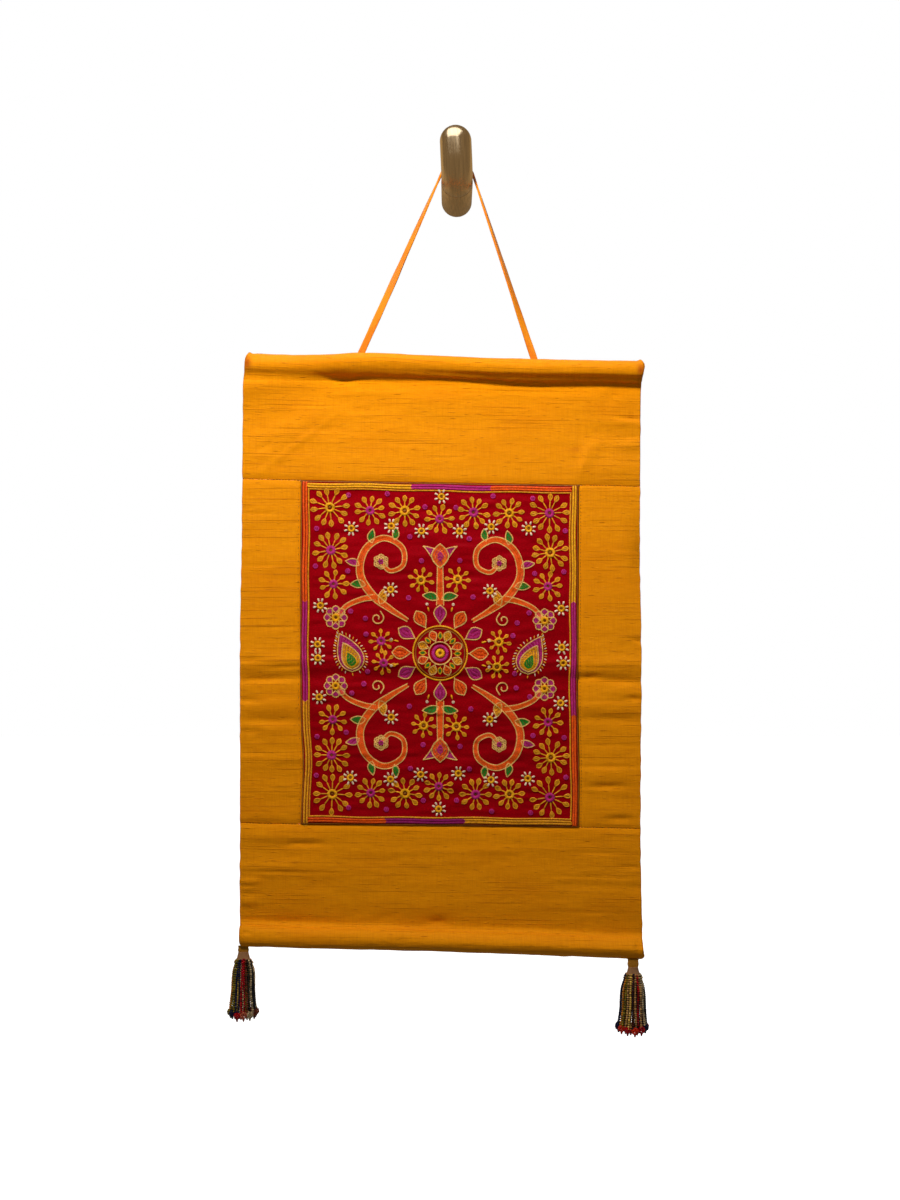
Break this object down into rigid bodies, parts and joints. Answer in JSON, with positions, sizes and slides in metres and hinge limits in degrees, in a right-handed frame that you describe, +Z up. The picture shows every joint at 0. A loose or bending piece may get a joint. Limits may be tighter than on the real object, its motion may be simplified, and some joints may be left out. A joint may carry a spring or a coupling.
{
  "type": "hanging embroidered silk panel with wall hook",
  "caption": "Silk wall hanging with an embroidered red centre, rolled edges, bead tassels and a strap over the round wall hook that holds it.",
  "frame": {"origin": "middle of the hook's flat face on the wall", "axes": "+Y goes into the wall along the hook's sleeve, +Z is up, the front of the hanging faces -Y"},
  "size_m": [0.3211, 0.09, 0.6922],
  "materials": {
    "silk": "handwoven marigold silk with slubs",
    "red_embroidery": "crimson satin weave under dense stitching",
    "strap_silk": "folded orange silk band",
    "tab_silk": "folded brown-gold silk",
    "seed_beads": "strings of small glass beads in many colours",
    "bronzed_metal": "satin bronzed brass"
  },
  "bodies": {
    "root": {"silk_top": "silk", "silk_left": "silk", "silk_right": "silk", "silk_bottom": "silk", "embroidered_panel": "red_embroidery", "hanging_strap": "strap_silk", "tassel_tab_left": "tab_silk", "tassel_tab_right": "tab_silk", "tassel_left": "seed_beads", "tassel_right": "seed_beads", "hook_sleeve": "bronzed_metal", "hook_bar": "bronzed_metal"}
  },
  "joints": []
}
